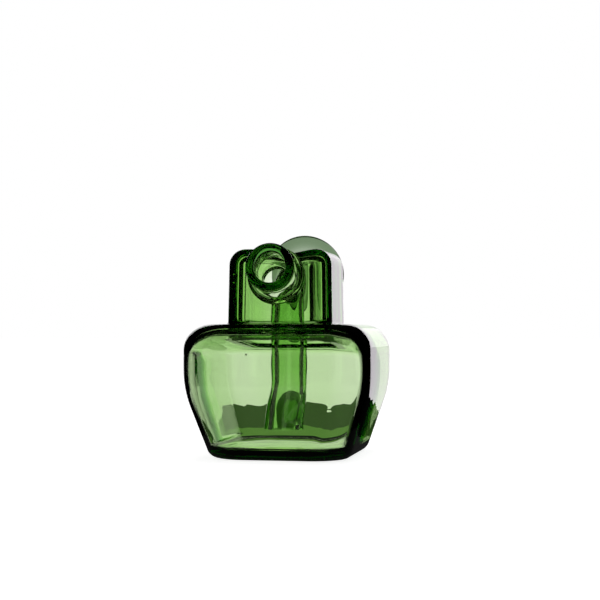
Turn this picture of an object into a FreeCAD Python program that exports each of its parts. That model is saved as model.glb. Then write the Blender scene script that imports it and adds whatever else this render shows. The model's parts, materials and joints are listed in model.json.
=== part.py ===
"""A small blown glass oil vessel, free-standing, all in one tinted glass.

Frame: the origin is the middle of the resting face, +Z is up, the spout points to -Y and the
funnel to +Y. Lengths are in millimetres and angles in degrees.
"""
import FreeCAD
import Part
import math
import os

from FreeCAD import Vector

# Reservoir: a rounded box that tapers in to its base.
BODY_WIDTH = 88.0
BODY_DEPTH = 101.0
BODY_HEIGHT = 63.0
BASE_WIDTH = 66.5          # between the flanks, taken down to the resting face
BELLY_HEIGHT = 42.0        # where the flanks have turned upright
BELLY_RADIUS = 58.0        # front-view turn from the flank to upright
SHOULDER_RADIUS = 12.0
HEEL_RADIUS = 5.5
BODY_CORNER = 18.0         # corner radius in plan, at the belly
CORNER_TAPER = 0.2         # how much of the inset the corner radius loses
BODY_WALL = 2.8            # of the flat panels
INNER_CORNER = 11.0        # tighter than the outside less the wall, so the corners come out thinner
INNER_SHOULDER_RADIUS = 6.5
BASE_THICKNESS = 5.2
INNER_HEEL_RADIUS = 5.0

# Neck: an upright rounded block that stands on the reservoir, hollow and open below.
NECK_WIDTH = 50.4          # at its foot
NECK_DEPTH = 50.6          # at its foot
NECK_HEIGHT = 35.8
NECK_LEAN = 0.6            # how far each side leans in from foot to top
NECK_SETBACK = 2.1         # how far its middle stands in front of the reservoir's middle
NECK_SIDESTEP = 1.4        # and how far it stands towards -X, as such handwork does
NECK_CORNER = 9.0
NECK_TOP_RADIUS = 7.5
NECK_INNER_CORNER = 4.5
NECK_WALL = 5.0
NECK_TOP_WALL = 4.5

# Spout: a short tube on the neck's front, flared into the neck, with a rolled lip.
SPOUT_BORE = 14.4
SPOUT_WALL = 2.4
SPOUT_ROOT = 24.5          # outer diameter where it meets the neck
SPOUT_FLARE = 6.0          # straight stretch behind the lip, before it flares to the root
SPOUT_REACH = 21.0         # from the neck's front to the lip's face, along Y
SPOUT_TILT = 9.0           # upwards
SPOUT_TURN = 3.5           # towards +X
SPOUT_DROP = 13.1          # its axis below the neck's top, at the neck's front
THROAT_BORE = 13.2         # the hole through the neck's front wall
THROAT_DROP = 2.6          # how far the hole sits below the tube's axis
LIP_DIAMETER = 22.3
LIP_LENGTH = 6.2
LIP_ROUND = 1.7
COLLAR_BEAD = 2.4          # radius of the welded bead's own section
COLLAR_DIAMETER = 29.4

# Funnel: a trumpet on the neck's back, which leads into the dip tube.
FUNNEL_RIM = 40.0          # outer diameter
FUNNEL_WALL = 2.4
FUNNEL_REACH = 23.8        # from the neck's back to the middle of the rim's plane, along Y
FUNNEL_TILT = 12.0
FUNNEL_DROP = 13.8         # its axis below the neck's top, at the neck's back
FUNNEL_THROAT_LENGTH = 6.5
FUNNEL_COLLAR_DIAMETER = 25.0

# Dip tube: an elbow behind the funnel's throat, then straight down to above the base.
DIP_DIAMETER = 17.5
DIP_BORE = 11.4
DIP_LEAD = 6.6             # straight run before the bend
DIP_BEND = 1.5             # radius of the bend's inner side
DIP_GAP = 7.0              # from its open end to the base

PAST = 1.0                 # how far a cutting tool runs past the face that it cuts

# Worked out from the sizes above.
NECK_FRONT = -NECK_SETBACK - NECK_DEPTH / 2
NECK_BACK = -NECK_SETBACK + NECK_DEPTH / 2
NECK_TOP = BODY_HEIGHT + NECK_HEIGHT
UP = Vector(0, 0, 1)


def heading(across, tilt):
    """Unit direction that lies along the level direction across, tilted up by an angle."""
    return across * math.cos(math.radians(tilt)) + UP * math.sin(math.radians(tilt))


TURN = math.radians(SPOUT_TURN)
SPOUT_DIRECTION = heading(Vector(math.sin(TURN), -math.cos(TURN), 0), SPOUT_TILT)
SPOUT_START = Vector(-NECK_SIDESTEP, NECK_FRONT, NECK_TOP - SPOUT_DROP)
SPOUT_LENGTH = -SPOUT_REACH / SPOUT_DIRECTION.y
FUNNEL_DIRECTION = heading(Vector(0, 1, 0), FUNNEL_TILT)
FUNNEL_START = Vector(-NECK_SIDESTEP, NECK_BACK, NECK_TOP - FUNNEL_DROP)


def rounded_rectangle(half_width, half_depth, corner, middle):
    """Closed wire of four lines and four arcs, level round its middle."""
    corners = [(half_width, -half_depth), (half_width, half_depth),
               (-half_width, half_depth), (-half_width, -half_depth)]
    edges = []
    for index, (x, y) in enumerate(corners):
        centre = middle + Vector(math.copysign(half_width - corner, x),
                                 math.copysign(half_depth - corner, y), 0)
        start = math.radians(90 * index - 90)
        ends = [centre + Vector(math.cos(start + turn), math.sin(start + turn), 0) * corner
                for turn in (0, math.pi / 4, math.pi / 2)]
        edges.append(Part.Arc(*ends).toShape())
    edge_ring = []
    for arc, following in zip(edges, edges[1:] + edges[:1]):
        edge_ring.append(arc)
        edge_ring.append(Part.LineSegment(arc.Vertexes[-1].Point, following.Vertexes[0].Point).toShape())
    return Part.Wire(edge_ring)


def flank_angle(half_width, half_base, bottom, belly_radius):
    """Lean of the straight flank that starts at the base and runs tangent into the belly's arc."""
    across = half_width - belly_radius - half_base
    rise = BELLY_HEIGHT - bottom
    return math.acos(-belly_radius / math.hypot(across, rise)) - math.atan2(rise, across)


def side_profile(half_width, half_base, bottom, top, heel, belly_radius, shoulder):
    """Points (height, half width) up one side: heel arc, straight flank, belly arc, shoulder arc."""
    lean = flank_angle(half_width, half_base, bottom, belly_radius)
    heel_x = half_base - heel * (1 - math.sin(lean)) / math.cos(lean)
    points = []
    for step in range(5):
        angle = -math.pi / 2 + (math.pi / 2 - lean) * step / 4
        points.append((bottom + heel + heel * math.sin(angle), heel_x + heel * math.cos(angle)))
    for step in range(5):
        angle = lean * (1 - step / 4)
        points.append((BELLY_HEIGHT - belly_radius * math.sin(angle),
                       half_width - belly_radius * (1 - math.cos(angle))))
    for step in range(7):
        angle = math.pi / 2 * step / 6
        points.append((top - shoulder + shoulder * math.sin(angle),
                       half_width - shoulder * (1 - math.cos(angle))))
    return points


def tapered_box(half_width, half_depth, corner, profile):
    """Smooth solid through level rounded rectangles that follow the profile on all four sides."""
    wires = []
    for height, half in profile:
        inset = half_width - half
        wires.append(rounded_rectangle(half, half_depth - inset, corner - CORNER_TAPER * inset, UP * height))
    return Part.makeLoft(wires, True, False)


def body_outside():
    profile = side_profile(BODY_WIDTH / 2, BASE_WIDTH / 2, 0.0, BODY_HEIGHT,
                           HEEL_RADIUS, BELLY_RADIUS, SHOULDER_RADIUS)
    return tapered_box(BODY_WIDTH / 2, BODY_DEPTH / 2, BODY_CORNER, profile)


def body_cavity():
    """The outside set in by the wall, from the base's top to the underside of the shoulder."""
    lean = flank_angle(BODY_WIDTH / 2, BASE_WIDTH / 2, 0.0, BELLY_RADIUS)
    half_base = BASE_WIDTH / 2 + BASE_THICKNESS * math.tan(lean) - BODY_WALL / math.cos(lean)
    profile = side_profile(BODY_WIDTH / 2 - BODY_WALL, half_base, BASE_THICKNESS,
                           BODY_HEIGHT - BODY_WALL, INNER_HEEL_RADIUS,
                           BELLY_RADIUS - BODY_WALL, INNER_SHOULDER_RADIUS)
    return tapered_box(BODY_WIDTH / 2 - BODY_WALL, BODY_DEPTH / 2 - BODY_WALL, INNER_CORNER, profile)


def neck_outline(inset, corner, height):
    """The neck's level outline at a height, set in by a wall."""
    lean = NECK_LEAN * (height - BODY_HEIGHT) / NECK_HEIGHT
    return rounded_rectangle(NECK_WIDTH / 2 - inset - lean, NECK_DEPTH / 2 - inset - lean,
                             corner, Vector(-NECK_SIDESTEP, -NECK_SETBACK, height))


def leaning_block(inset, corner, top, top_radius):
    """Block from the body's top up to a height, its sides leaning in, its top edges rounded."""
    levels = [neck_outline(inset, corner, height) for height in (BODY_HEIGHT, top)]
    block = Part.makeLoft(levels, True, True)
    top_edges = [edge for edge in block.Edges
                 if all(abs(vertex.Z - top) < 1e-6 for vertex in edge.Vertexes)]
    return block.makeFillet(top_radius, top_edges)


def neck_outside():
    return leaning_block(0.0, NECK_CORNER, NECK_TOP, NECK_TOP_RADIUS)


def neck_cavity():
    return leaning_block(NECK_WALL, NECK_INNER_CORNER, NECK_TOP - NECK_TOP_WALL,
                         NECK_TOP_RADIUS - NECK_TOP_WALL)


def placed(shape, start, direction):
    """The shape moved so that its own Z axis starts at start and points along direction."""
    moved = shape.copy()
    frame = FreeCAD.Placement(start, FreeCAD.Rotation(UP, direction))
    moved.Placement = frame.multiply(moved.Placement)
    return moved


def bored(radius, start, direction, back, length):
    """Cylinder along a direction, begun a little behind its start."""
    return Part.makeCylinder(radius, back + length, start - direction * back, direction)


def slab(bottom, top):
    """Level block far wider than the vessel, to part it at a height."""
    reach = 2 * (BODY_WIDTH + BODY_DEPTH)
    return Part.makeBox(2 * reach, 2 * reach, top - bottom, Vector(-reach, -reach, bottom))


def base_pad():
    """The thick bottom, solid right across."""
    return body_outside().common(slab(-PAST, BASE_THICKNESS))


def reservoir_shell():
    """The blown wall above the base, open below and, under the neck, above."""
    wall = body_outside().common(slab(BASE_THICKNESS, BODY_HEIGHT + PAST)).cut(body_cavity())
    outline = neck_outline(NECK_WALL, NECK_INNER_CORNER, BODY_HEIGHT)
    opening = Part.Face(outline).extrude(UP * (BODY_WALL + 2 * PAST))
    return wall.cut(opening.translated(UP * -(BODY_WALL + PAST)))


def neck_chamber():
    """The hollow block, with the throat in front and the funnel's hole behind."""
    shell = neck_outside().cut(neck_cavity())
    throat = SPOUT_START - UP * THROAT_DROP
    shell = shell.cut(bored(THROAT_BORE / 2, throat, SPOUT_DIRECTION, 2 * NECK_WALL, NECK_WALL))
    return shell.cut(bored(DIP_BORE / 2, FUNNEL_START, FUNNEL_DIRECTION, 2 * NECK_WALL, NECK_WALL))


def trumpet(throat, mouth, straight, end, back):
    """Solid round its own Z axis: straight from behind the start, then flared by one tangent arc.

    The arc leaves the straight stretch at that height and reaches the mouth's radius at the end.
    """
    flare = mouth - throat
    rise = end - straight
    radius = (flare * flare + rise * rise) / (2 * flare)
    half_turn = math.asin(rise / radius) / 2
    middle = Vector(throat + radius * (1 - math.cos(half_turn)), 0,
                    straight + radius * math.sin(half_turn))
    bottom, foot, rim = Vector(throat, 0, back), Vector(throat, 0, straight), Vector(mouth, 0, end)
    corners = [rim, Vector(0, 0, end), Vector(0, 0, back), bottom, foot]
    edges = [Part.LineSegment(a, b).toShape() for a, b in zip(corners, corners[1:])]
    edges.append(Part.Arc(foot, middle, rim).toShape())
    return Part.Face(Part.Wire(edges)).revolve(Vector(), UP, 360)


def spout_form(inset, ahead):
    """The tube's form set in by a wall: straight behind the lip, flared into the neck.

    It is made from the lip backwards, turned end for end, and may run on ahead into the lip.
    """
    lip_end = SPOUT_LENGTH - LIP_LENGTH
    mouth = SPOUT_ROOT / 2 - inset
    form = trumpet(SPOUT_BORE / 2 + SPOUT_WALL - inset, mouth, SPOUT_FLARE, lip_end, -ahead)
    root = Part.makeCylinder(mouth, NECK_TOP_RADIUS, Vector(0, 0, lip_end))
    turned = form.fuse(root).mirror(Vector(), UP).translated(UP * lip_end)
    return placed(turned, SPOUT_START, SPOUT_DIRECTION)


def spout_tube():
    return spout_form(0.0, 0.0).cut(spout_form(SPOUT_WALL, PAST)).cut(neck_outside())


def spout_lip():
    """The rolled ring round the mouth."""
    bottom = SPOUT_LENGTH - LIP_LENGTH
    ring = Part.makeCylinder(LIP_DIAMETER / 2, LIP_LENGTH, Vector(0, 0, bottom))
    ring = ring.cut(Part.makeCylinder(SPOUT_BORE / 2, LIP_LENGTH, Vector(0, 0, bottom)))
    return placed(ring.makeFillet(LIP_ROUND, lip_edges(ring, bottom)), SPOUT_START, SPOUT_DIRECTION)


def lip_edges(ring, bottom):
    """The ring's edges that are rolled over: all but the one that sits on the tube's bore."""
    rolled = []
    for edge in ring.Edges:
        if not isinstance(edge.Curve, Part.Circle):
            continue
        inner = edge.Curve.Radius < (SPOUT_BORE + LIP_DIAMETER) / 4
        lower = abs(edge.Curve.Center.z - bottom) < 1e-6
        if not (inner and lower):
            rolled.append(edge)
    return rolled


def bead(diameter, start, direction, along):
    """Round-sectioned ring about an axis."""
    torus = Part.makeTorus(diameter / 2 - COLLAR_BEAD, COLLAR_BEAD, Vector(0, 0, along))
    return placed(torus, start, direction)


def spout_collar():
    """The welded bead where the spout's root meets the neck."""
    ring = bead(COLLAR_DIAMETER, SPOUT_START, SPOUT_DIRECTION, 0.0)
    return ring.cut(neck_outside()).cut(spout_form(0.0, 0.0))


def funnel_form(inset):
    """The funnel's trumpet set in by a wall, from inside the neck's back to the rim."""
    length = FUNNEL_REACH / math.cos(math.radians(FUNNEL_TILT))
    form = trumpet(DIP_BORE / 2 + FUNNEL_WALL - inset, FUNNEL_RIM / 2 - inset,
                   FUNNEL_THROAT_LENGTH, length, -NECK_TOP_RADIUS)
    return placed(form, FUNNEL_START, FUNNEL_DIRECTION)


def funnel():
    """The trumpet, its root shaped to the neck's back."""
    return funnel_form(0.0).cut(funnel_form(FUNNEL_WALL)).cut(neck_outside())


def funnel_collar():
    """The welded bead round the funnel's root."""
    ring = bead(FUNNEL_COLLAR_DIAMETER, FUNNEL_START, FUNNEL_DIRECTION, 0.0)
    return ring.cut(neck_outside()).cut(funnel_form(0.0))


def dip_run(radius, end):
    """Solid of the tube's run: along the funnel's axis, round the elbow, and down to a height."""
    slope = math.radians(FUNNEL_TILT)
    wall_inside = FUNNEL_START - FUNNEL_DIRECTION * (NECK_WALL / math.cos(slope))
    bend = DIP_DIAMETER / 2 + DIP_BEND
    lead_end = wall_inside - FUNNEL_DIRECTION * DIP_LEAD
    lead = Part.makeCylinder(radius, DIP_LEAD + NECK_WALL / 2, lead_end, FUNNEL_DIRECTION)
    centre = lead_end + Vector(0, bend * math.sin(slope), -bend * math.cos(slope))
    disc = Part.Face(Part.Wire(Part.makeCircle(radius, lead_end, FUNNEL_DIRECTION)))
    elbow = disc.revolve(centre, Vector(1, 0, 0), 90 - FUNNEL_TILT)
    down = Part.makeCylinder(radius, centre.z - end, Vector(centre.x, centre.y - bend, end), UP)
    return lead.fuse([elbow, down])


def dip_tube():
    """The bent tube, its root shaped to the inside of the neck's back wall."""
    end = BASE_THICKNESS + DIP_GAP
    tube = dip_run(DIP_DIAMETER / 2, end).cut(dip_run(DIP_BORE / 2, end - PAST))
    inside = neck_cavity().fuse(slab(0.0, BODY_HEIGHT))
    return tube.common(inside)


PIECES = {
    "base_pad": base_pad,
    "reservoir_shell": reservoir_shell,
    "neck_chamber": neck_chamber,
    "spout_tube": spout_tube,
    "spout_lip": spout_lip,
    "spout_collar": spout_collar,
    "funnel": funnel,
    "funnel_collar": funnel_collar,
    "dip_tube": dip_tube,
}

os.makedirs("parts", exist_ok=True)
for name, build in PIECES.items():
    shape = build().removeSplitter()
    solids = shape.Solids
    piece = solids[0] if len(solids) == 1 else Part.Compound(solids)
    piece.exportStep(os.path.join("parts", name + ".step"))
    print(name, "solids", len(solids), "volume", round(piece.Volume), "valid", piece.isValid())
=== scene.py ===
import json
import math

import bpy
import numpy as np
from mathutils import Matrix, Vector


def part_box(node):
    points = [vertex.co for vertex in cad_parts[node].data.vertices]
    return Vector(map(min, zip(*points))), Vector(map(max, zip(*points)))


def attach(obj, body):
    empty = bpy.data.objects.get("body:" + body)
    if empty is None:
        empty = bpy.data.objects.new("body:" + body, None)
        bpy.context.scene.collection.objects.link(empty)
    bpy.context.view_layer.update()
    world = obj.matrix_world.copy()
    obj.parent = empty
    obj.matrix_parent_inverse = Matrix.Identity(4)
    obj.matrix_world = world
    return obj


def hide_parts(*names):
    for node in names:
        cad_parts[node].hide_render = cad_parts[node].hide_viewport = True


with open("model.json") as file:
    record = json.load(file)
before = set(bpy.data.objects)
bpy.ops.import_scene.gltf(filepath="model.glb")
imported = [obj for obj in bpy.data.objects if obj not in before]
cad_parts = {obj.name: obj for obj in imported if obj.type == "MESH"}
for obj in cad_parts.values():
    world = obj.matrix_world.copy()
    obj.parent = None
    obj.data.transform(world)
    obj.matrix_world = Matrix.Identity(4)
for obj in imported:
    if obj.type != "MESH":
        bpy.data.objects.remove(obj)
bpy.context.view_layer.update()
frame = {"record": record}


# ---- Room ----
# A studio sweep: a pale paper floor under an even white surround, with black card between the
# surround's four open panels and over the top of them. Clear glass shows the white where it is
# thin and flat and picks up the black wherever it turns, which draws its edges.

BOUNCES, GLOSSY_BOUNCES = 40, 12
scene = bpy.context.scene
scene.view_settings.view_transform = "Standard"
scene.cycles.max_bounces = BOUNCES
scene.cycles.transmission_bounces = BOUNCES
scene.cycles.glossy_bounces = GLOSSY_BOUNCES


def shader(name, holder=None):
    """A material, or the world's own tree, emptied: its nodes, its links and its output."""
    owner = holder or bpy.data.materials.new(name)
    owner.use_nodes = True
    tree = owner.node_tree
    tree.nodes.clear()
    kind = "ShaderNodeOutputWorld" if holder else "ShaderNodeOutputMaterial"
    return owner, tree.nodes, tree.links, tree.nodes.new(kind)


def seen(nodes, links, *rays):
    """1 for rays of these kinds, from Light Path, and 0 for all others."""
    path = nodes.new("ShaderNodeLightPath")
    socket = path.outputs[rays[0]]
    for ray in rays[1:]:
        either = nodes.new("ShaderNodeMath")
        either.operation = "MAXIMUM"
        links.new(socket, either.inputs[0])
        links.new(path.outputs[ray], either.inputs[1])
        socket = either.outputs[0]
    return socket


def mixed(nodes, links, share, first, second):
    """Shader that is the second where share is 1 and the first where it is 0."""
    mix = nodes.new("ShaderNodeMixShader")
    links.new(share, mix.inputs[0])
    links.new(first, mix.inputs[1])
    links.new(second, mix.inputs[2])
    return mix.outputs[0]


def glow(nodes, kind, strength, colour=(1.0, 1.0, 1.0)):
    """Light given off by a Background or Emission node."""
    node = nodes.new(kind)
    node.inputs["Color"].default_value = colour + (1.0,)
    node.inputs["Strength"].default_value = strength
    return node.outputs[0]


def matt(nodes, grey):
    """Dull paper or card of one grey."""
    node = nodes.new("ShaderNodeBsdfDiffuse")
    node.inputs["Color"].default_value = (grey, grey, grey, 1.0)
    return node.outputs[0]


# The surround is white to look at, straight or in glass, and lights the object far less.
SURROUND_WHITE, AMBIENT = 1.0, 0.3
world = bpy.data.worlds.new("room")
scene.world = world
_, nodes, links, output = shader("room", world)
links.new(mixed(nodes, links, seen(nodes, links, "Is Camera Ray", "Is Glossy Ray", "Is Transmission Ray"),
                glow(nodes, "ShaderNodeBackground", AMBIENT),
                glow(nodes, "ShaderNodeBackground", SURROUND_WHITE)), output.inputs["Surface"])

# The floor is grey paper that glows for the camera alone, so that it looks white and still takes
# the shadow. Glass and reflections see only a glow, and it carries a painted shade near the object:
# it is dimmed there as if the object shaded the ground.
FLOOR_GREY, FLOOR_GLOW = 0.62, 0.86
# Painted shade: near the object the glow that glass and reflections see drops to SHADED_GLOW.
SHADED_GLOW, OPEN_GLOW = 0.02, 0.95
SHADE_FROM, SHADE_TO = 0.075, 0.15
floor_paper, nodes, links, output = shader("floor_paper")
paper = matt(nodes, FLOOR_GREY)
where = nodes.new("ShaderNodeTexCoord")
reach = nodes.new("ShaderNodeVectorMath")
reach.operation = "LENGTH"
links.new(where.outputs["Object"], reach.inputs[0])
shade = nodes.new("ShaderNodeMapRange")
shade.interpolation_type = "SMOOTHSTEP"
for socket, value in (("From Min", SHADE_FROM), ("From Max", SHADE_TO),
                      ("To Min", SHADED_GLOW), ("To Max", OPEN_GLOW)):
    shade.inputs[socket].default_value = value
links.new(reach.outputs["Value"], shade.inputs["Value"])
through = nodes.new("ShaderNodeEmission")
links.new(shade.outputs[0], through.inputs["Strength"])
lift = nodes.new("ShaderNodeAddShader")
links.new(mixed(nodes, links, seen(nodes, links, "Is Camera Ray"), glow(nodes, "ShaderNodeEmission", 0.0),
                glow(nodes, "ShaderNodeEmission", FLOOR_GLOW)), lift.inputs[0])
links.new(paper, lift.inputs[1])
links.new(mixed(nodes, links, seen(nodes, links, "Is Glossy Ray", "Is Transmission Ray"), lift.outputs[0],
                through.outputs[0]), output.inputs["Surface"])

CARD_BLACK = 0.003
black_card, nodes, links, output = shader("black_card")
links.new(matt(nodes, CARD_BLACK), output.inputs["Surface"])


def stage_mesh(name, points, faces, material):
    """A stage object from corner points and faces."""
    mesh = bpy.data.meshes.new(name)
    mesh.from_pydata([tuple(p) for p in points], [], faces)
    mesh.materials.append(material)
    obj = bpy.data.objects.new(name, mesh)
    scene.collection.objects.link(obj)
    return obj


def level_square(half, height):
    """Points and the one face of a level square: half times each pair of signs."""
    return [(x * half, y * half, height) for x, y in ((-1, -1), (1, -1), (1, 1), (-1, 1))], [(0, 1, 2, 3)]


FLOOR_HALF, FLOOR_DROP = 14.0, 0.0002
stage_mesh("floor", *level_square(FLOOR_HALF, -FLOOR_DROP), floor_paper)

CAMERA_TURN = 11.31
AHEAD = 90 + CAMERA_TURN
CARD_RADIUS, CARD_TOP, CARD_LIFT = 1.0, 2.4, 0.0005


def hidden_card(name, points, faces, material, in_mirrors=True, in_glass=True):
    """A card that shades nothing and that the camera never sees. Reflections show it if
    in_mirrors, and the clear glass shows it if in_glass."""
    obj = stage_mesh(name, points, faces, material)
    obj.visible_camera = False
    obj.visible_diffuse = False
    obj.visible_shadow = False
    obj.visible_glossy = in_mirrors
    obj.visible_transmission = in_glass
    return obj


def standing_card(name, middle, half_angle, low, high, steps=12, material=black_card, **shown):
    """Part of an upright cylinder round the object: its radius times (cos, sin) of each angle, at
    two heights. middle and half_angle are in degrees round +Z."""
    turn = np.radians(np.linspace(middle - half_angle, middle + half_angle, steps + 1))
    ring = np.stack([CARD_RADIUS * np.cos(turn), CARD_RADIUS * np.sin(turn)], axis=1)
    points = [(x, y, z) for z in (low, high) for x, y in ring]
    faces = [(k, k + 1, k + steps + 2, k + steps + 1) for k in range(steps)]
    return hidden_card(name, points, faces, material, **shown)


def level_band(turn, near, far, height):
    """Points and faces of a flat band round the object, between the distances near and far: each
    distance times (cos, sin) of its angle."""
    points = [(r * math.cos(k), r * math.sin(k), height) for edge in (near, far) for k, r in zip(turn, edge)]
    steps = len(turn) - 1
    return points, [(k, k + steps + 1, k + steps + 2, k + 1) for k in range(steps)]


def lying_card(name, middle, half_angle, start, steps=12, material=black_card, **shown):
    """Sector of a flat ring on the floor, from start out to the foot of a standing card."""
    turn = np.radians(np.linspace(middle - half_angle, middle + half_angle, steps + 1))
    near, far = (np.full(steps + 1, edge) for edge in (start, CARD_RADIUS))
    return hidden_card(name, *level_band(turn, near, far, CARD_LIFT), material, **shown)


CARD_ARCS = ((28, 76), (104, 166), (194, 256), (284, 332))      # degrees left of straight ahead
PANEL_TOP, LYING_FROM = 0.42, 0.16
for index, (first, last) in enumerate(CARD_ARCS):
    place, half = AHEAD + (first + last) / 2, (last - first) / 2
    standing_card("card_%d" % index, place, half, 0.0, CARD_TOP)
    lying_card("lying_card_%d" % index, place, half, LYING_FROM, in_mirrors=False)
standing_card("card_high", 0.0, 180.0, PANEL_TOP, CARD_TOP, steps=72)
LID_HALF, LID_DROP = 1.1, 0.01
hidden_card("card_lid", *level_square(LID_HALF, CARD_TOP - LID_DROP), black_card)

# Reflections show black all round, but for the opening straight ahead.
OPEN_AHEAD, FLAG_FROM = 28, 0.06
standing_card("flag", AHEAD + 180, 180 - OPEN_AHEAD, 0.0, CARD_TOP, steps=48, in_glass=False)
lying_card("lying_flag", AHEAD + 180, 180 - OPEN_AHEAD, FLAG_FROM, steps=48, in_glass=False)


# ---- Floor cards of painted shadow and light ----
# A painted shadow in olive and a painted pool of green light lie on the floor behind the object,
# and a painted pale glow under it. Only the glass shows them: they make the dark band and the
# bright foot low in the reservoir.

def glowing(name, strength, colour):
    """Card that gives off its own even colour."""
    material, nodes, links, output = shader(name)
    links.new(glow(nodes, "ShaderNodeEmission", strength, colour), output.inputs["Surface"])
    return material


def floor_card(name, near, far, height, colour, widest=60, steps=120):
    """Flat band round the object. Each edge is a list of pairs (degrees left of straight ahead,
    distance from the middle), joined by straight runs."""
    left = np.linspace(-widest, widest, steps + 1)
    edges = (np.interp(left, *zip(*edge)) for edge in (near, far))
    hidden_card(name, *level_band(np.radians(AHEAD + left), *edges, height), glowing(name, 1.0, colour),
                in_mirrors=False)


SHADOW_FAR = [(-60, 0.16), (-30, 0.2), (-19.8, 0.258), (-10, 0.319), (-6.5, 0.359), (-4.4, 0.398),
             (-2.7, 0.4), (-1, 0.425), (-0.4, 0.435), (1.9, 0.391), (4.4, 0.375), (7.1, 0.344),
             (8.5, 0.305), (15.8, 0.254), (25, 0.2), (60, 0.16)]
SHADOW_NEAR = [(-60, 0.08), (-36, 0.09), (-21, 0.125), (-12, 0.158), (-7.3, 0.182), (-4.2, 0.175),
              (-2.6, 0.195), (0, 0.21), (3, 0.185), (6.2, 0.167), (9, 0.157), (13.1, 0.145),
              (19.5, 0.122), (30, 0.11), (60, 0.1)]
GREEN_LIGHT_NEAR, UNDERLIGHT_FAR = 0.056, 0.034
COLOUR_LIFT, UNDER_DROP = 0.001, 0.0001
PAINTED_SHADOW, PAINTED_GREEN_LIGHT, PAINTED_UNDERLIGHT = (0.07, 0.11, 0.05), (0.16, 0.28, 0.09), (1.15, 1.15, 0.95)
# The olive card is a painted shadow: the object's dark green shade on the floor behind it.
floor_card("painted_shadow_card", SHADOW_NEAR, SHADOW_FAR, COLOUR_LIFT, PAINTED_SHADOW)
# The green card is painted light: green light come through the glass, lying in the object's shade.
floor_card("painted_green_light_card", [(0, GREEN_LIGHT_NEAR)], SHADOW_NEAR, COLOUR_LIFT, PAINTED_GREEN_LIGHT)
# The pale card under the object is a painted glow: light from below, seen through the base.
floor_card("painted_underlight_card", [(0, 0.0)], [(0, UNDERLIGHT_FAR)], -UNDER_DROP, PAINTED_UNDERLIGHT, widest=180)


# ---- Lights ----
# A strip light stands behind the object, to the right of straight ahead, strong above and weaker
# below and along the floor. Only reflections show it, as the pale sheen on the right side faces.
# A softbox hangs over the object and casts its soft shadow.

STRIP_RIGHT, STRIP_HALF, STRIP_FROM = 19, 9, 0.1
STRIP_STEP, STRIP_HIGH, STRIP_LOW = 0.07, 1.5, 1.12     # height of the change, and both strengths
STRIP_NEARER = 0.98                                     # its distance as a share of the cards'
STRIP_COLOUR = (1.0, 0.95, 1.0)
strips = []
for name, strength, foot, head in (("strip_high", STRIP_HIGH, STRIP_STEP, PANEL_TOP),
                                   ("strip_low", STRIP_LOW, 0.0, STRIP_STEP)):
    strip_glow = glowing(name, strength, STRIP_COLOUR)
    strips.append(standing_card(name, AHEAD - STRIP_RIGHT, STRIP_HALF, foot, head, material=strip_glow,
                                in_glass=False))
strips.append(lying_card("lying_strip", AHEAD - STRIP_RIGHT, STRIP_HALF, STRIP_FROM, material=strip_glow,
                         in_glass=False))
for strip in strips:
    strip.scale = (STRIP_NEARER, STRIP_NEARER, 1.0)

SOFTBOX_SIZE, SOFTBOX_POWER, SOFTBOX_PLACE = 0.9, 5, (0.1, 0.3, 1.3)
lamp = bpy.data.lights.new("softbox", "AREA")
lamp.shape = "RECTANGLE"
lamp.size = lamp.size_y = SOFTBOX_SIZE
lamp.energy = SOFTBOX_POWER
softbox = bpy.data.objects.new("softbox", lamp)
softbox.location = SOFTBOX_PLACE
softbox.visible_glossy = False
softbox.visible_transmission = False
scene.collection.objects.link(softbox)


# ---- Camera ----
# A long lens 0.64 m from the object and about level with its middle, a little to the right of its
# front, so that the right side faces show as a narrow strip.

LENS, SENSOR = 78.0, 36.0
CAMERA_TILT, CAMERA_PLACE = 91.5, (0.12896, -0.6219, 0.0583)
camera = bpy.data.cameras.new("camera")
camera.lens, camera.sensor_width = LENS, SENSOR
viewer = bpy.data.objects.new("camera", camera)
viewer.location = CAMERA_PLACE
viewer.rotation_euler = (math.radians(CAMERA_TILT), 0.0, math.radians(CAMERA_TURN))
scene.collection.objects.link(viewer)
scene.camera = viewer


# ---- Reservoir and neck ----
# The blown vessel: a rounded box with thin walls on a thick base, drawn in at its foot, and a
# heavy hollow block for a neck on its shoulder. It is one gather of green glass, with one skin
# outside and one round the hollow, and two holes are opened through the neck.

MM = 0.001
GLASS_INDEX = 1.5
RIPPLE, RIPPLE_DEPTH = 0.1, 1 * MM
HEADROOM = 1.02     # keeps the absorption colour a little above black


def glass(name, absorbs, swirl_size):
    """Polished glass with a faint swirl in its surface. absorbs is the light lost per metre in
    red, green and blue: the density times 1 less the colour."""
    material, nodes, links, output = shader(name)
    skin = nodes.new("ShaderNodeBsdfPrincipled")
    skin.inputs["Base Color"].default_value = (1.0, 1.0, 1.0, 1.0)
    skin.inputs["Roughness"].default_value = 0.0
    skin.inputs["IOR"].default_value = GLASS_INDEX
    skin.inputs["Transmission Weight"].default_value = 1.0
    where = nodes.new("ShaderNodeTexCoord")
    swirl = nodes.new("ShaderNodeTexNoise")
    swirl.inputs["Scale"].default_value = 1 / swirl_size
    swirl.inputs["Detail"].default_value = 1.0
    links.new(where.outputs["Object"], swirl.inputs["Vector"])
    bump = nodes.new("ShaderNodeBump")
    bump.inputs["Strength"].default_value = RIPPLE
    bump.inputs["Distance"].default_value = RIPPLE_DEPTH
    links.new(swirl.outputs["Fac"], bump.inputs["Height"])
    links.new(bump.outputs[0], skin.inputs["Normal"])
    tint = nodes.new("ShaderNodeVolumeAbsorption")
    density = max(absorbs) * HEADROOM
    tint.inputs["Density"].default_value = density
    tint.inputs["Color"].default_value = tuple(1 - a / density for a in absorbs) + (1.0,)
    links.new(skin.outputs[0], output.inputs["Surface"])
    links.new(tint.outputs[0], output.inputs["Volume"])
    return material


SIDE_STEPS, CORNER_STEPS = 22, 14


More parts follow.
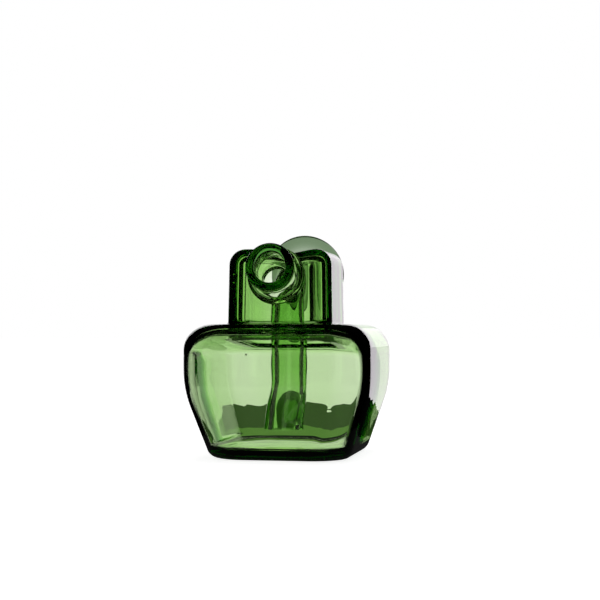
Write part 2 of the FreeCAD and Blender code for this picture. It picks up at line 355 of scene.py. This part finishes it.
def level_rings(rows):
    """Rings of a rounded rectangle, one for each row (height, half width, half depth, corner
    radius, middle x, middle y). Round a corner the point is the corner's centre plus its radius
    times (cos t, sin t). Along a side t stays and the centre slides to the next corner."""
    turn, slide_x, slide_y = [], [], []
    signs = [(1, 1), (-1, 1), (-1, -1), (1, -1)]
    for quarter, (sx, sy) in enumerate(signs):
        nx, ny = signs[(quarter + 1) % 4]
        bend = np.linspace(0, math.pi / 2, CORNER_STEPS, endpoint=False) + quarter * math.pi / 2
        run = np.linspace(0, 1, SIDE_STEPS, endpoint=False)
        turn += [bend, np.full(SIDE_STEPS, (quarter + 1) * math.pi / 2)]
        slide_x += [np.full(CORNER_STEPS, sx), sx + (nx - sx) * run]
        slide_y += [np.full(CORNER_STEPS, sy), sy + (ny - sy) * run]
    turn, slide_x, slide_y = (np.concatenate(part) for part in (turn, slide_x, slide_y))
    z, a, b, c, cx, cy = (np.asarray(column, float)[:, None] for column in zip(*rows))
    x = cx + slide_x * (a - c) + c * np.cos(turn)
    y = cy + slide_y * (b - c) + c * np.sin(turn)
    return np.stack([x, y, z + 0 * x], axis=-1)


def outward(grid):
    """Unit normals of a grid of rings: the cross product of the steps round and up each ring."""
    round_step = np.roll(grid, -1, axis=1) - np.roll(grid, 1, axis=1)
    up_step = np.gradient(grid, axis=0)
    normal = np.cross(round_step, up_step)
    return normal / np.maximum(np.linalg.norm(normal, axis=-1, keepdims=True), 1e-12)


def closed_skin(grid, foot, crown):
    """Points and faces of a stack of rings, closed at both ends by a fan to one point."""
    rows, columns = grid.shape[:2]
    points = np.concatenate([grid.reshape(-1, 3), [foot, crown]])
    at = np.arange(rows * columns).reshape(rows, columns)
    following = np.roll(at, -1, axis=1)
    quads = np.stack([at[:-1], following[:-1], following[1:], at[1:]], axis=-1).reshape(-1, 4)
    count = rows * columns
    bottom = np.stack([following[0], at[0], np.full(columns, count)], axis=-1)
    top = np.stack([at[-1], following[-1], np.full(columns, count + 1)], axis=-1)
    return points, quads.tolist() + bottom.tolist() + top.tolist()


def joined(*skins):
    """Points and faces of several skins in one list."""
    points, faces, start = [], [], 0
    for skin_points, skin_faces in skins:
        points.append(skin_points)
        faces += [[k + start for k in face] for face in skin_faces]
        start += len(skin_points)
    return np.concatenate(points), faces


def turned_inward(points, faces):
    """The same skin with its faces the other way round, as the wall of a hollow."""
    return points, [face[::-1] for face in faces]


def make_piece(name, points, faces, material):
    """Smooth mesh object of one material, from points in millimetres."""
    mesh = bpy.data.meshes.new(name)
    mesh.from_pydata((points * MM).tolist(), [], faces)
    mesh.materials.append(material)
    mesh.shade_smooth()
    obj = bpy.data.objects.new(name, mesh)
    scene.collection.objects.link(obj)
    return obj


def arc(start, end, steps):
    """Even angles in radians, between two given in degrees."""
    return np.radians(np.linspace(start, end, steps))


def stepped(values, start, end):
    """0 below start, 1 above end, and between them the smooth step s s (3 - 2 s)."""
    share = np.clip((values - start) / (end - start), 0.0, 1.0)
    return share * share * (3 - 2 * share)


# Sizes in millimetres. The outside fills the boxes of the two solids.
body_low, body_high = (np.array(corner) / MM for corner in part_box("reservoir_shell"))
neck_low, neck_high = (np.array(corner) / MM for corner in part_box("neck_chamber"))
HALF_WIDTH, HALF_DEPTH = (body_high - body_low)[:2] / 2
BODY_TOP, NECK_TOP = neck_low[2], neck_high[2]
NECK_HALF = (neck_high - neck_low)[:2] / 2
NECK_X, NECK_Y = ((neck_high + neck_low) / 2)[:2]
HALF_BASE, HEEL = 33.25, 5.5                    # half the width it stands on; radius under the flank
BELLY, BELLY_RADIUS = 42.0, 58.0                # height of the widest place; radius of the belly
SHOULDER, CORNER, TAPER = 12.0, 18.0, 0.2       # radii; how much tighter the corner is per mm inset
NECK_LEAN, NECK_CORNER, NECK_ROUND = 0.6, 9.0, 7.5      # lean by the top; corner; top edge
LEAST_CORNER, FOOT_FILLET = 0.8, 1.2
HEEL_STEPS, FLANK_STEPS, BELLY_STEPS, UPRIGHT_STEPS, SHOULDER_STEPS = 12, 12, 16, 6, 16


def flank(half_width, half_base, bottom, radius):
    """Lean of the straight flank from upright, in radians. It is the line from the base's edge
    that touches the belly's arc: acos(-radius / distance to the arc's centre), less the slope of
    the way to that centre."""
    across, rise = half_width - radius - half_base, BELLY - bottom
    return math.acos(-radius / math.hypot(across, rise)) - math.atan2(rise, across)


def side_rows(half_width, half_depth, half_base, bottom, top, heel, belly_radius, shoulder, corner):
    """Rows from the base's edge to the shoulder's: heel arc, straight flank, belly arc, upright,
    shoulder arc. Each arc is its centre plus its radius times (cos t, sin t). The inset from the
    full half width is taken off the depth too, and TAPER of it off the corner."""
    lean = flank(half_width, half_base, bottom, belly_radius)
    heel_middle = half_base - heel * (1 - math.sin(lean)) / math.cos(lean)
    t = arc(-90, -math.degrees(lean), HEEL_STEPS)
    heel_z, heel_x = bottom + heel + heel * np.sin(t), heel_middle + heel * np.cos(t)
    t = arc(math.degrees(lean), 0, BELLY_STEPS)
    belly_z, belly_x = BELLY - belly_radius * np.sin(t), half_width - belly_radius * (1 - np.cos(t))
    climb = np.linspace(0, 1, FLANK_STEPS)[1:-1]
    flank_z = heel_z[-1] + (belly_z[0] - heel_z[-1]) * climb
    flank_x = heel_x[-1] + (belly_x[0] - heel_x[-1]) * climb
    upright_z = np.linspace(BELLY, top - shoulder, UPRIGHT_STEPS)[1:-1]
    upright_x = np.full(len(upright_z), half_width)
    t = arc(0, 90, SHOULDER_STEPS)
    shoulder_z = top - shoulder + shoulder * np.sin(t)
    shoulder_x = half_width - shoulder * (1 - np.cos(t))
    z = np.concatenate([heel_z, flank_z, belly_z, upright_z, shoulder_z])
    x = np.concatenate([heel_x, flank_x, belly_x, upright_x, shoulder_x])
    inset = half_width - x
    return [(h, a, half_depth - i, corner - TAPER * i, 0.0, 0.0) for h, a, i in zip(z, x, inset)]


def shrunk(row, shares):
    """Copies of a level row drawn in towards its middle."""
    z, a, b, c, cx, cy = row
    return [(z, a * s, b * s, c * s, cx, cy) for s in shares]


def between(first, last, steps):
    """Rows that pass evenly from one to another, both left out."""
    return [tuple(np.array(first) + (np.array(last) - np.array(first)) * s)
            for s in np.linspace(0, 1, steps + 2)[1:-1]]


def neck_rows(inset, corner, rows):
    """Rows on the neck's outline: its half sizes less the inset, less a lean that grows evenly
    with height, and less further. rows holds pairs of (height, further)."""
    result = []
    for z, further in rows:
        lean = NECK_LEAN * (z - BODY_TOP) / (NECK_TOP - BODY_TOP)
        gone = inset + lean + further
        result.append((z, NECK_HALF[0] - gone, NECK_HALF[1] - gone,
                       max(corner - further, LEAST_CORNER), NECK_X, NECK_Y))
    return result


FOOT_STEPS = 8


def with_neck(side, inset, corner, foot, foot_round, top, top_round,
              low_shares, wall_steps, round_steps, high_shares):
    """Rows of a whole skin: the level bottom, the side, the level shoulder, a quarter circle of
    foot_round up into the neck's walls, the walls, a quarter circle of top_round, and the top."""
    rows = shrunk(side[0], low_shares) + side
    t = arc(0, 90, FOOT_STEPS)
    way_up = neck_rows(inset, corner, zip(foot + foot_round * (1 - np.cos(t)), -foot_round * (1 - np.sin(t))))
    rows += between(rows[-1], way_up[0], FOOT_STEPS) + way_up
    walls = np.linspace(foot + foot_round, top - top_round, wall_steps)[1:-1]
    rows += neck_rows(inset, corner, [(z, 0.0) for z in walls])
    t = arc(0, 90, round_steps)
    rows += neck_rows(inset, corner, zip(top - top_round + top_round * np.sin(t),
                                         top_round * (1 - np.cos(t))))
    return rows + shrunk(rows[-1], high_shares)


SAG_X, SAG_WIDTH = 4.0, 8.5


def let_sag(grid, depth, top, fade):
    """Lowers a grid's crown by depth times exp(-((x - SAG_X) / SAG_WIDTH) squared), in full at
    the height top and fading with its square to nothing a distance of fade below."""
    grid[..., 2] -= (depth * np.exp(-((grid[..., 0] - SAG_X) / SAG_WIDTH) ** 2)
                     * np.clip((grid[..., 2] - top + fade) / fade, 0.0, 1.0) ** 2)


SAG, SAG_FADE = 2.0, 16.0
outer = level_rings(with_neck(
    side_rows(HALF_WIDTH, HALF_DEPTH, HALF_BASE, 0.0, BODY_TOP, HEEL, BELLY_RADIUS, SHOULDER, CORNER),
    inset=0.0, corner=NECK_CORNER, foot=BODY_TOP, foot_round=FOOT_FILLET, top=NECK_TOP, top_round=NECK_ROUND,
    low_shares=np.linspace(0.1, 0.95, 8), wall_steps=14, round_steps=14,
    high_shares=np.linspace(0.93, 0.08, 12)))
let_sag(outer, SAG, NECK_TOP, SAG_FADE)

# The hollow follows the outside, set in by the wall. Its corners are rounder at the rear, and its
# belly is drawn a little tighter.
WALL, BASE, INNER_HEEL, INNER_SHOULDER, DRAWN = 2.5, 5.2, 3.0, 10.0, 0.6
FRONT_CORNER, REAR_CORNER, CORNER_BLEND = 13.0, 14.5, 12.0
TOP_WALL, OPENING_ROUND = 4.0, 2.0
NECK_WALL, NECK_INNER_CORNER, CEILING, CEILING_ROUND = 5.0, 8.0, 4.5, 3.0
outer_lean = flank(HALF_WIDTH, HALF_BASE, 0.0, BELLY_RADIUS)
inner_base = HALF_BASE + BASE * math.tan(outer_lean) - WALL / math.cos(outer_lean)
way_in = BODY_TOP - TOP_WALL


def hollow_rings(corner):
    """The hollow's rings, with this radius at the reservoir's inner corners."""
    side = side_rows(HALF_WIDTH - WALL, HALF_DEPTH - WALL, inner_base, BASE, way_in, INNER_HEEL,
                     BELLY_RADIUS - WALL - DRAWN, INNER_SHOULDER, corner)
    return level_rings(with_neck(
        side, inset=NECK_WALL, corner=NECK_INNER_CORNER, foot=way_in, foot_round=OPENING_ROUND,
        top=NECK_TOP - CEILING, top_round=CEILING_ROUND, low_shares=np.linspace(0.06, 0.95, 14),
        wall_steps=18, round_steps=10, high_shares=np.linspace(0.93, 0.08, 10)))


inner = hollow_rings(FRONT_CORNER)
rearward = stepped(inner[..., 1:2], -CORNER_BLEND, CORNER_BLEND)
inner = inner * (1 - rearward) + hollow_rings(REAR_CORNER) * rearward


def waves(points, size):
    """Slow unevenness between -1 and 1: the mean of six sines of the position, each along its
    own direction and with its own phase."""
    directions = np.array([(1.0, 0.3, 0.2), (0.2, 1.0, -0.4), (-0.3, 0.2, 1.0),
                           (0.7, -0.6, 0.5), (-0.5, 0.8, 0.9), (0.9, 0.4, -0.8)])
    phase = np.array([0.4, 1.9, 3.1, 4.4, 5.2, 2.6])
    return np.sin(points @ directions.T * (2 * math.pi / size) + phase).mean(axis=-1)


# Blown walls are uneven. The reservoir's sides are thickest along a ridge near their middle, which
# jogs to the front higher up. The neck's right wall thickens to the rear. All of it waves slowly,
# less so near the floor, and the neck's rear wall has one thin place.
RIDGE, RIDGE_Y, RIDGE_REACH, RIDGE_ROUND = 1.6, 4.0, 38.0, 3.0
RIDGE_SHIFT, SHIFT_FROM, SHIFT_TO = 20.0, 44.0, 56.0
NECK_WEDGE, NECK_REACH, NECK_FROM, NECK_FULL = 1.3, 22.0, BODY_TOP - 4, BODY_TOP + 2
UNEVEN, UNEVEN_FLOOR, WAVE_SIZE, WAVE_FROM, WAVE_FULL = 0.04, 0.02, 40.0, BASE + 2, BASE + 10
THIN, THIN_X, THIN_Z, THIN_SIZE = 3.6, -13.0, 84.5, 7.5
normal = outward(inner)
x, y, z = np.moveaxis(inner, -1, 0)
in_neck = stepped(z, NECK_FROM, NECK_FULL)
past_ridge = y - RIDGE_Y + RIDGE_SHIFT * stepped(z, SHIFT_FROM, SHIFT_TO)
rounded = np.sqrt(past_ridge ** 2 + RIDGE_ROUND ** 2) - RIDGE_ROUND
body_share = np.clip(1 - rounded / (RIDGE_REACH + RIDGE_Y), 0.0, 1.0)
neck_share = np.clip((y - NECK_Y + NECK_REACH) / (2 * NECK_REACH), 0.0, 1.0) * (x > 0)
thicker = normal[..., 0] ** 2 * (RIDGE * body_share * (1 - in_neck) + NECK_WEDGE * neck_share * in_neck)
waving = UNEVEN_FLOOR + (UNEVEN - UNEVEN_FLOOR) * stepped(z, WAVE_FROM, WAVE_FULL)
thicker = thicker + waving * waves(inner, WAVE_SIZE)
near_thin = np.exp(-((x - THIN_X) ** 2 + (z - THIN_Z) ** 2) / THIN_SIZE ** 2) * (y > NECK_Y)
thicker = thicker - THIN * near_thin
inner = inner - normal * thicker[..., None]
INNER_SAG, INNER_SAG_FADE = 0.7 * SAG, 12.0
let_sag(inner, INNER_SAG, NECK_TOP - CEILING, INNER_SAG_FADE)

# One seed, a small bubble, sits halfway through the front wall.
SEED_X, SEED_Z, SEED, SEED_POLE, SEED_RINGS, SEED_STEPS = -10.7, 49.3, 0.45, 75, 9, 16
away = np.where(y < 0, np.hypot(x - SEED_X, z - SEED_Z), np.inf)
nearest = np.unravel_index(away.argmin(), away.shape)
seed_middle = inner[nearest] + normal[nearest] * WALL / 2
rise, turn = np.meshgrid(arc(-SEED_POLE, SEED_POLE, SEED_RINGS),
                         np.linspace(0, 2 * math.pi, SEED_STEPS, endpoint=False), indexing="ij")
ball = seed_middle + SEED * np.stack([np.cos(rise) * np.cos(turn), np.cos(rise) * np.sin(turn),
                                      np.sin(rise)], axis=-1)
seed_skin = closed_skin(ball, seed_middle - (0, 0, SEED), seed_middle + (0, 0, SEED))

SWIRL = 17 * MM
green_glass = glass("green_glass", absorbs=(105, 42, 165), swirl_size=SWIRL)
body_skin = closed_skin(outer, (0.0, 0.0, 0.0), outer[-1].mean(axis=0))
hollow_skin = closed_skin(inner, inner[0].mean(axis=0), inner[-1].mean(axis=0))
vessel = make_piece("vessel", *joined(body_skin, turned_inward(*hollow_skin), turned_inward(*seed_skin)),
                    green_glass)

ROUND_STEPS = 96


def turned_grid(profile, start, direction):
    """Surface of a profile of (along, radius) turned round an axis: start plus along times the
    axis plus radius times (cos t across - sin t over)."""
    axis = np.array(direction) / np.linalg.norm(direction)
    across = np.cross(axis, (0.0, 0.0, 1.0))
    across /= np.linalg.norm(across)
    over = np.cross(across, axis)
    t = np.linspace(0, 2 * math.pi, ROUND_STEPS, endpoint=False)[None, :, None]
    along, radius = (np.asarray(column, float)[:, None, None] for column in zip(*profile))
    return np.array(start) + along * axis + radius * (np.cos(t) * across - np.sin(t) * over)


def cut_hole(obj, profile, start, axis):
    """Takes the turned profile out of the mesh, so that both skins open into each other."""
    skin = closed_skin(turned_grid(profile, start, axis), start + axis * profile[0][0],
                       start + axis * profile[-1][0])
    cutter = make_piece("cutter", *skin, obj.data.materials[0])
    cut = obj.modifiers.new("hole", "BOOLEAN")
    cut.operation, cut.solver, cut.object = "DIFFERENCE", "EXACT", cutter
    bpy.context.view_layer.update()
    mesh = bpy.data.meshes.new_from_object(obj.evaluated_get(bpy.context.evaluated_depsgraph_get()))
    obj.modifiers.clear()
    obj.data = mesh
    bpy.data.objects.remove(cutter)


# The front hole widens to a rounded edge under the spout and sits a little low on its axis. The
# rear hole is the funnel's bore, straight through.
mounts = {mount["name"]: mount for mount in frame["record"]["mounts"]}
SPOUT_AXIS = np.array(mounts["spout_bore"]["axis"])
FUNNEL_AXIS = np.array(mounts["funnel_throat"]["axis"])
spout_middle = np.array(mounts["spout_bore"]["pos_m"]) / MM
funnel_middle = np.array(mounts["funnel_throat"]["pos_m"]) / MM
neck_front, neck_back = neck_low[1], neck_high[1]
SPOUT_START = spout_middle - SPOUT_AXIS * ((spout_middle[1] - neck_front) / SPOUT_AXIS[1])
FUNNEL_START = funnel_middle - FUNNEL_AXIS * ((funnel_middle[1] - neck_back) / FUNNEL_AXIS[1])
THROAT, THROAT_DROP, THROAT_EDGE, THROAT_STRAIGHT, THROAT_PAST, THROAT_STEPS = 6.6, 2.6, 1.6, 0.6, 2.5, 8
FUNNEL_BORE = 5.7
t = arc(0, 90, THROAT_STEPS)
throat = [(-2 * NECK_WALL, THROAT), (-THROAT_EDGE - THROAT_STRAIGHT, THROAT)]
throat += list(zip(-THROAT_EDGE + THROAT_EDGE * np.sin(t), THROAT + THROAT_EDGE * (1 - np.cos(t))))
throat += [(THROAT_PAST, THROAT + THROAT_EDGE)]
cut_hole(vessel, throat, SPOUT_START - np.array((0, 0, THROAT_DROP)), SPOUT_AXIS)
cut_hole(vessel, [(-2 * NECK_WALL, FUNNEL_BORE), (NECK_WALL, FUNNEL_BORE)], FUNNEL_START, FUNNEL_AXIS)
VESSEL_SHARP = 40       # degrees of turn past which an edge isn't smoothed
vessel.data.set_sharp_from_angle(angle=math.radians(VESSEL_SHARP))
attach(vessel, "root")
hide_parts("base_pad", "reservoir_shell", "neck_chamber")


# ---- Spout ----
# A short tube drawn from the same glass, paler because it is thin, flared at its root and joined
# to the neck's front under a welded bead. Its mouth stops a hair short of the lip.

SEAM = 0.03
SPOUT_BORE, SPOUT_WALL, SPOUT_ROOT, SPOUT_STRAIGHT = 7.2, 2.4, 12.25, 6.0
SPOUT_REACH, LIP_LENGTH, SPOUT_SEAT = 21.0, 6.2, 9.0
BEAD_BACK, BEAD_HALF, BEAD_HEIGHT = 1.7, 1.6, 2.2
BEAD_STEPS, BARREL_STEPS = 17, 20
SPOUT_LENGTH = SPOUT_REACH / -SPOUT_AXIS[1]
LIP_START = SPOUT_LENGTH - LIP_LENGTH


def flare(along, throat, mouth, straight, end):
    """Radius of a trumpet: the throat's up to straight, then one tangent arc to the mouth's, as
    throat plus arc less the root of (arc squared less the way past straight squared)."""
    bend = ((mouth - throat) ** 2 + (end - straight) ** 2) / (2 * (mouth - throat))
    past = np.clip(np.asarray(along, float) - straight, 0.0, end - straight)
    return throat + bend - np.sqrt(bend ** 2 - past ** 2)


def ring_skin(grid):
    """Points and faces of a grid that closes on itself both round its rings and along them."""
    rows, columns = grid.shape[:2]
    at = np.arange(rows * columns).reshape(rows, columns)
    following, above = np.roll(at, -1, axis=1), np.roll(at, -1, axis=0)
    faces = np.stack([at, following, np.roll(above, -1, axis=1), above], axis=-1).reshape(-1, 4)
    return grid.reshape(-1, 3), faces.tolist()


EDGE_LIMIT = 0.8 * NECK_ROUND       # above this the edge is too level to lean a tube on


def seated(points, faces, start, direction, face, side, reach):
    """Slides a tube's root along its axis until it lies SEAM off the neck's face, in full at the
    root and fading out over reach. At each height the face stands in from its foot by its lean
    and by its round edge: radius less the root of (radius squared less height past it squared)."""
    axis = np.array(direction) / np.linalg.norm(direction)
    along = (points - start) @ axis
    across = points - start - along[:, None] * axis
    height = points[:, 2]
    past_edge = np.clip(height - (NECK_TOP - NECK_ROUND), 0.0, EDGE_LIMIT)
    stands_in = (NECK_LEAN * (height - BODY_TOP) / (NECK_TOP - BODY_TOP)
                 + NECK_ROUND - np.sqrt(NECK_ROUND ** 2 - past_edge ** 2))
    slide = (face - side * (stands_in - SEAM) - start[1] - across[:, 1]) / axis[1]
    return points + (slide * (1 - stepped(along, 0.0, reach)))[:, None] * axis, faces


out = np.concatenate([np.linspace(0.0, BEAD_BACK + BEAD_HALF, BEAD_STEPS),
                      np.linspace(BEAD_BACK + BEAD_HALF, LIP_START - SEAM, BARREL_STEPS)[1:]])
spout_outer = flare(LIP_START - out, SPOUT_BORE + SPOUT_WALL, SPOUT_ROOT, SPOUT_STRAIGHT, LIP_START)
spout_inner = flare(LIP_START - out, SPOUT_BORE, SPOUT_ROOT - SPOUT_WALL, SPOUT_STRAIGHT, LIP_START)
bead = BEAD_HEIGHT * np.sqrt(np.clip(1 - ((out - BEAD_BACK) / BEAD_HALF) ** 2, 0, 1))
spout_profile = list(zip(out, spout_outer + bead)) + list(zip(out[::-1], spout_inner[::-1]))
spout_skin = ring_skin(turned_grid(spout_profile, SPOUT_START, SPOUT_AXIS))
FINE_SWIRL = 9 * MM
pale_glass = glass("pale_glass", absorbs=(55, 24, 85), swirl_size=FINE_SWIRL)
spout = make_piece("spout", *seated(*spout_skin, SPOUT_START, SPOUT_AXIS, neck_front, -1, SPOUT_SEAT),
                   pale_glass)
TUBE_SHARP = 50         # the same for the tubes, whose cut ends stay crisp
spout.data.set_sharp_from_angle(angle=math.radians(TUBE_SHARP))
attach(spout, "root")
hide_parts("spout_tube", "spout_collar")


# ---- Lip ----
# A thick ring of dark green glass, wound hot round the spout's mouth and rolled smooth. It is
# welded to the end of the spout, and its hole carries on the spout's bore.

LIP_RADIUS, LIP_ROUND, LIP_INNER_ROUND, LIP_STEPS = 11.15, 1.9, 0.5, 9
lip_profile = []
for along, radius, rounding, first in (
        (LIP_START + LIP_ROUND, LIP_RADIUS - LIP_ROUND, LIP_ROUND, -90),
        (SPOUT_LENGTH - LIP_ROUND, LIP_RADIUS - LIP_ROUND, LIP_ROUND, 0),
        (SPOUT_LENGTH - LIP_ROUND, SPOUT_BORE + LIP_ROUND, LIP_ROUND, 90),
        (LIP_START + LIP_INNER_ROUND, SPOUT_BORE + LIP_INNER_ROUND, LIP_INNER_ROUND, 180)):
    t = arc(first, first + 90, LIP_STEPS)
    lip_profile += list(zip(along + rounding * np.sin(t), radius + rounding * np.cos(t)))
deep_green_glass = glass("deep_green_glass", absorbs=(430, 215, 520), swirl_size=FINE_SWIRL)
lip = make_piece("lip", *ring_skin(turned_grid(lip_profile, SPOUT_START, SPOUT_AXIS)), deep_green_glass)
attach(lip, "root")
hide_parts("spout_lip")


# ---- Funnel ----
# A wide trumpet of thin smoky glass behind the neck, through which the vessel is filled. It is
# drawn out from a stout throat to a rolled rim, and joined to the neck's back under a welded bead.

FUNNEL_REACH, FUNNEL_TILT, FUNNEL_SEAT = 23.8, math.radians(12), 7.0
FUNNEL_WALL, FUNNEL_SHEET, THINS_OVER = 2.4, 1.8, 8.0
FUNNEL_RADIUS, FUNNEL_STRAIGHT, FUNNEL_STEPS = 20.0, 6.5, 46
RIM, RIM_RUN, RIM_STEPS = 1.2, 3.0, 15
RIM_PAST, RIM_OUT = 2.8, 0.85       # how far the rim rolls on past the sheet's end, and outward
HORN_END = FUNNEL_REACH / math.cos(FUNNEL_TILT) - RIM_PAST
HORN_MOUTH = FUNNEL_RADIUS - RIM_OUT
ROOT_BEAD, ROOT_BEAD_RUN = 1.9, 2.2


def horn_profile(along, radius, wall, bead):
    """Loop of (along, radius): the outer line with the bead on it, a half circle over the rim,
    and back along the plain outer line set in by the wall, square to it."""
    rise, run = np.gradient(radius), np.gradient(along)
    length = np.hypot(rise, run)
    nx, ny = rise / length, -run / length
    inner_along, inner_radius = along + nx * wall, radius + ny * wall
    t = arc(0, 180, RIM_STEPS)[1:-1]
    half = wall[-1] / 2
    middle = (along[-1] + nx[-1] * half, radius[-1] + ny[-1] * half)
    cap_along = middle[0] - nx[-1] * half * np.cos(t) - ny[-1] * half * np.sin(t)
    cap_radius = middle[1] - ny[-1] * half * np.cos(t) + nx[-1] * half * np.sin(t)
    return (list(zip(along, radius + bead)) + list(zip(cap_along, cap_radius))
            + list(zip(inner_along[::-1], inner_radius[::-1])))


ahead = np.linspace(0.0, HORN_END, FUNNEL_STEPS)
horn_outer = flare(ahead, FUNNEL_BORE + FUNNEL_WALL, HORN_MOUTH, FUNNEL_STRAIGHT, HORN_END)
horn_wall = FUNNEL_WALL + (FUNNEL_SHEET - FUNNEL_WALL) * np.clip((ahead - FUNNEL_STRAIGHT) / THINS_OVER, 0, 1)
horn_wall += RIM * stepped(ahead, HORN_END - RIM_RUN, HORN_END)
root_bead = ROOT_BEAD * np.exp(-(ahead / ROOT_BEAD_RUN) ** 2)
horn_skin = ring_skin(turned_grid(horn_profile(ahead, horn_outer, horn_wall, root_bead),
                                  FUNNEL_START, FUNNEL_AXIS))
smoke_glass = glass("smoke_glass", absorbs=(560, 430, 610), swirl_size=FINE_SWIRL)
funnel = make_piece("funnel_horn", *seated(*horn_skin, FUNNEL_START, FUNNEL_AXIS, neck_back, 1, FUNNEL_SEAT),
                    smoke_glass)
funnel.data.set_sharp_from_angle(angle=math.radians(TUBE_SHARP))
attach(funnel, "root")
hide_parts("funnel", "funnel_collar")


# ---- Dip tube ----
# A thick glass tube inside the vessel. It starts at the funnel's throat in the neck's rear wall,
# turns down in an elbow and hangs to just above the base. Drawn by hand, it sways a little to one
# side and spreads at its foot.

TUBE, TUBE_BORE, TUBE_GAP, LEAD, BEND = 8.75, 5.7, 0.3, 6.6, 10.25
BEND_STEPS, LEAD_STEPS, DROP_STEPS = 26, 8, 40
SWAY, SPREAD, SWAY_FROM = 2.6, 0.12, 36.0
LUMPS, LUMP_RUN, BORE_LUMPS, BORE_LUMP_RUN, BORE_PHASE = 0.02, 3.1, 0.04, 4.3, 1.0
tube_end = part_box("dip_tube")[0][2] / MM
wall_inside = FUNNEL_START - FUNNEL_AXIS * (NECK_WALL / math.cos(FUNNEL_TILT))
lead_start, lead_end = wall_inside - FUNNEL_AXIS * TUBE_GAP, wall_inside - FUNNEL_AXIS * LEAD
bend_middle = lead_end + np.array((0, BEND * math.sin(FUNNEL_TILT), -BEND * math.cos(FUNNEL_TILT)))
t = np.linspace(math.pi / 2 + FUNNEL_TILT, math.pi, BEND_STEPS)
lead_run = np.linspace(0, 1, LEAD_STEPS, endpoint=False)[:, None]
path = np.concatenate([lead_start + (lead_end - lead_start) * lead_run,
                       bend_middle + BEND * np.stack([0 * t, np.cos(t), np.sin(t)], axis=1)])
drop = np.linspace(path[-1][2], tube_end, DROP_STEPS)[1:]
path = np.concatenate([path, np.stack([0 * drop + path[-1][0], 0 * drop + path[-1][1], drop], axis=1)])


def swept(path, radius):
    """Rings square to a path in a plane of constant x: the path's point plus its radius times
    (cos t across + sin t over)."""
    along = np.gradient(path, axis=0)
    along /= np.linalg.norm(along, axis=1, keepdims=True)
    across = np.array((1.0, 0.0, 0.0))
    over = np.cross(across, along)
    t = np.linspace(0, 2 * math.pi, ROUND_STEPS, endpoint=False)[None, :, None]
    return path[:, None] + radius[:, None, None] * (np.cos(t) * across + np.sin(t) * over[:, None])


low_down = 1 - stepped(path[:, 2], tube_end, SWAY_FROM)
path[:, 0] -= SWAY * low_down
swell = 1 + SPREAD * low_down + LUMPS * np.sin(path[:, 2] / LUMP_RUN)
bore_swell = swell + BORE_LUMPS * np.sin(path[:, 2] / BORE_LUMP_RUN + BORE_PHASE)
tube_grid = np.concatenate([swept(path, TUBE * swell), swept(path, TUBE_BORE * bore_swell)[::-1]])
tube_glass = glass("tube_glass", absorbs=(150, 60, 225), swirl_size=SWIRL)
tube = make_piece("inner_tube", *turned_inward(*ring_skin(tube_grid)), tube_glass)
tube.data.set_sharp_from_angle(angle=math.radians(TUBE_SHARP))
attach(tube, "root")
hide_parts("dip_tube")
